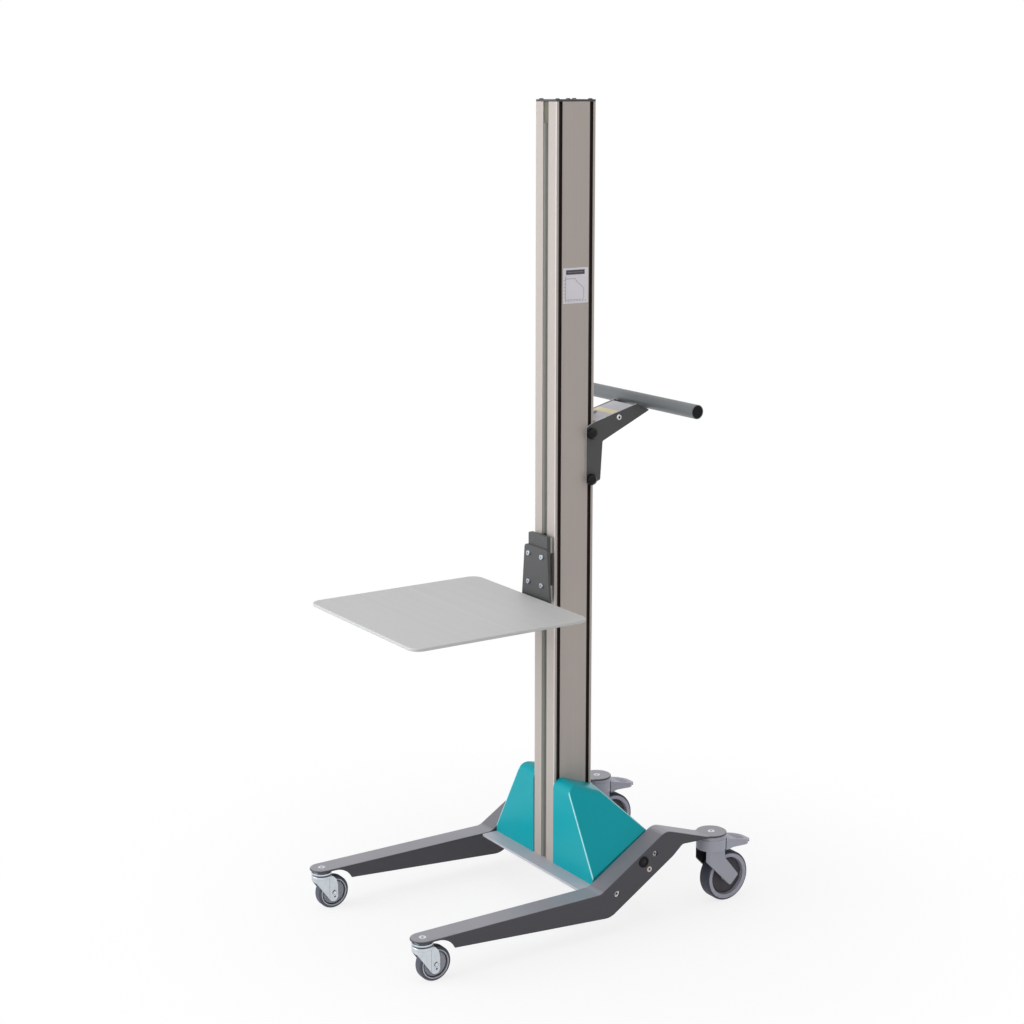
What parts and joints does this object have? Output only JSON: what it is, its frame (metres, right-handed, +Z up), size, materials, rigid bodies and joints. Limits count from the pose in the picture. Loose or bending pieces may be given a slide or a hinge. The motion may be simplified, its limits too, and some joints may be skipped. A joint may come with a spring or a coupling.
{
  "type": "electric material lifter",
  "caption": "Mobile lift for light loads: a flat platform on a belt-driven carriage in a slotted mast, on two bent sheet legs with swivel castors, with a faceted cover and a push handle.",
  "frame": {"origin": "on the floor below the middle of the bounding box", "axes": "+Z up, -Y forward over the platform, +X to the left of the operator behind the handle"},
  "size_m": [0.561, 0.9696, 1.9625],
  "materials": {
    "leg_paint": "satin powder coat",
    "cover_paint": "satin teal paint",
    "mast_aluminium": "clear anodised, satin",
    "dark_paint": "satin",
    "platform_steel": "fine brushed",
    "zinc_steel": "bright zinc",
    "machine_aluminium": "machined",
    "black_plastic": "matt",
    "black_gloss": "semi gloss",
    "roller_plastic": "matt",
    "belt_rubber": "matt",
    "handle_paint": "satin",
    "panel_grey": "fine texture",
    "button_green": "semi gloss",
    "button_white": "semi gloss",
    "front_tyre_rubber": "matt",
    "front_hub_plastic": "matt",
    "rear_castor_plastic": "fine texture",
    "rear_tyre_rubber": "matt",
    "rear_hub_plastic": "matt",
    "lamp_plastic": "semi gloss"
  },
  "bodies": {
    "chassis": {"base_frame": "leg_paint", "leg_left": "leg_paint", "leg_right": "leg_paint", "leg_bolts": "zinc_steel", "mast_profile": "mast_aluminium", "mast_cap": "dark_paint", "mast_cap_screws": "zinc_steel", "idler_yoke": "zinc_steel", "drive_bearings": "black_plastic", "drive_belt": "belt_rubber", "gearbox": "machine_aluminium", "gear_motor": "dark_paint", "batteries": "black_plastic", "controller": "machine_aluminium", "cover_left": "cover_paint", "cover_right": "cover_paint", "rear_cover": "dark_paint", "cover_screws": "zinc_steel", "charging_socket": "black_plastic", "charge_lamp": "lamp_plastic", "front_kingpins": "zinc_steel", "rear_kingpins": "zinc_steel"},
    "carriage": {"carriage_body": "dark_paint", "glide_pads": "roller_plastic", "belt_clamp": "machine_aluminium", "platform": "platform_steel", "platform_bracket": "dark_paint", "platform_screws": "zinc_steel"},
    "lower_roller_pair": {"lower_rollers": "roller_plastic"},
    "upper_roller_pair": {"upper_rollers": "roller_plastic"},
    "drive_pulley_shaft": {"drive_pulley": "machine_aluminium"},
    "idler_pulley_shaft": {"idler_pulley": "machine_aluminium"},
    "handle": {"handle_bracket_left": "dark_paint", "handle_bracket_right": "dark_paint", "handle_tube": "handle_paint", "tube_plugs": "black_plastic", "control_panel": "panel_grey", "clamp_nuts": "zinc_steel"},
    "knob_left_lower_body": {"knob_left_lower": "black_gloss"},
    "knob_left_upper_body": {"knob_left_upper": "black_gloss"},
    "knob_right_lower_body": {"knob_right_lower": "black_gloss"},
    "knob_right_upper_body": {"knob_right_upper": "black_gloss"},
    "button_up_body": {"button_up": "button_green"},
    "button_down_body": {"button_down": "button_white"},
    "front_swivel_left": {"front_fork_left": "zinc_steel", "front_axle_left": "zinc_steel"},
    "front_roll_left": {"front_tyre_left": "front_tyre_rubber", "front_wheel_left": "front_hub_plastic"},
    "rear_swivel_left": {"rear_housing_left": "rear_castor_plastic"},
    "rear_brake_left": {"brake_pedal_left": "rear_castor_plastic"},
    "rear_roll_left": {"rear_tyre_left": "rear_tyre_rubber", "rear_wheel_left": "rear_hub_plastic"},
    "front_swivel_right": {"front_fork_right": "zinc_steel", "front_axle_right": "zinc_steel"},
    "front_roll_right": {"front_tyre_right": "front_tyre_rubber", "front_wheel_right": "front_hub_plastic"},
    "rear_swivel_right": {"rear_housing_right": "rear_castor_plastic"},
    "rear_brake_right": {"brake_pedal_right": "rear_castor_plastic"},
    "rear_roll_right": {"rear_tyre_right": "rear_tyre_rubber", "rear_wheel_right": "rear_hub_plastic"}
  },
  "joints": [
    {"name": "lift", "type": "slide", "parent": "chassis", "child": "carriage", "axis": [0, 0, 1], "range_m": [-0.655, 0.86]},
    {"name": "lower_rollers_turn", "type": "hinge", "parent": "carriage", "child": "lower_roller_pair", "pos_m": [0, 0.06425, 0.7988], "axis": [1, 0, 0], "range_deg": [-2385, 1818]},
    {"name": "upper_rollers_turn", "type": "hinge", "parent": "carriage", "child": "upper_roller_pair", "pos_m": [0, 0.06425, 1.0008], "axis": [1, 0, 0], "range_deg": [-2385, 1818]},
    {"name": "drive_pulley_turn", "type": "hinge", "parent": "chassis", "child": "drive_pulley_shaft", "pos_m": [0, 0.09975, 0.139], "axis": [1, 0, 0], "range_deg": [-2351, 1792]},
    {"name": "idler_pulley_turn", "type": "hinge", "parent": "chassis", "child": "idler_pulley_shaft", "pos_m": [0, 0.09975, 1.907], "axis": [1, 0, 0], "range_deg": [-2351, 1792]},
    {"name": "handle_height", "type": "slide", "parent": "chassis", "child": "handle", "axis": [0, 0, 1], "range_m": [-0.25, 0.2]},
    {"name": "knob_left_lower_turn", "type": "hinge", "parent": "handle", "child": "knob_left_lower_body", "pos_m": [0.04735, 0.13675, 1.061], "axis": [1, 0, 0], "range_deg": [0, 360]},
    {"name": "knob_left_upper_turn", "type": "hinge", "parent": "handle", "child": "knob_left_upper_body", "pos_m": [0.04735, 0.13675, 1.1725], "axis": [1, 0, 0], "range_deg": [0, 360]},
    {"name": "knob_right_lower_turn", "type": "hinge", "parent": "handle", "child": "knob_right_lower_body", "pos_m": [-0.04735, 0.13675, 1.061], "axis": [-1, 0, 0], "range_deg": [0, 360]},
    {"name": "knob_right_upper_turn", "type": "hinge", "parent": "handle", "child": "knob_right_upper_body", "pos_m": [-0.04735, 0.13675, 1.1725], "axis": [-1, 0, 0], "range_deg": [0, 360]},
    {"name": "button_up_press", "type": "slide", "parent": "handle", "child": "button_up_body", "axis": [0, 0.2521, -0.9677], "range_m": [0, 0.0025], "stiffness_N_per_m": 400, "springref_m": -0.003},
    {"name": "button_down_press", "type": "slide", "parent": "handle", "child": "button_down_body", "axis": [0, 0.2521, -0.9677], "range_m": [0, 0.0025], "stiffness_N_per_m": 400, "springref_m": -0.003},
    {"name": "front_swivel_left_turn", "type": "hinge", "parent": "chassis", "child": "front_swivel_left", "pos_m": [0.2425, -0.45575, 0.095], "axis": [0, 0, 1], "continuous": true},
    {"name": "front_wheel_left_roll", "type": "hinge", "parent": "front_swivel_left", "child": "front_roll_left", "pos_m": [0.2425, -0.42875, 0.041], "axis": [1, 0, 0], "continuous": true},
    {"name": "rear_swivel_left_turn", "type": "hinge", "parent": "chassis", "child": "rear_swivel_left", "pos_m": [0.2425, 0.37175, 0.17], "axis": [0, 0, 1], "continuous": true},
    {"name": "rear_wheel_left_roll", "type": "hinge", "parent": "rear_swivel_left", "child": "rear_roll_left", "pos_m": [0.2425, 0.41275, 0.0625], "axis": [1, 0, 0], "continuous": true},
    {"name": "rear_brake_left_press", "type": "hinge", "parent": "rear_swivel_left", "child": "rear_brake_left", "pos_m": [0.2425, 0.38875, 0.148], "axis": [1, 0, 0], "range_deg": [-9, 0]},
    {"name": "front_swivel_right_turn", "type": "hinge", "parent": "chassis", "child": "front_swivel_right", "pos_m": [-0.2425, -0.45575, 0.095], "axis": [0, 0, 1], "continuous": true},
    {"name": "front_wheel_right_roll", "type": "hinge", "parent": "front_swivel_right", "child": "front_roll_right", "pos_m": [-0.2425, -0.42875, 0.041], "axis": [1, 0, 0], "continuous": true},
    {"name": "rear_swivel_right_turn", "type": "hinge", "parent": "chassis", "child": "rear_swivel_right", "pos_m": [-0.2425, 0.37175, 0.17], "axis": [0, 0, 1], "continuous": true},
    {"name": "rear_wheel_right_roll", "type": "hinge", "parent": "rear_swivel_right", "child": "rear_roll_right", "pos_m": [-0.2425, 0.41275, 0.0625], "axis": [1, 0, 0], "continuous": true},
    {"name": "rear_brake_right_press", "type": "hinge", "parent": "rear_swivel_right", "child": "rear_brake_right", "pos_m": [-0.2425, 0.38875, 0.148], "axis": [1, 0, 0], "range_deg": [-9, 0]}
  ],
  "couplings": [
    {"joint": "lower_rollers_turn", "follows": "lift", "rad_per_m": -48.309},
    {"joint": "upper_rollers_turn", "follows": "lift", "rad_per_m": -48.309},
    {"joint": "drive_pulley_turn", "follows": "lift", "rad_per_m": -47.619},
    {"joint": "idler_pulley_turn", "follows": "lift", "rad_per_m": -47.619}
  ]
}
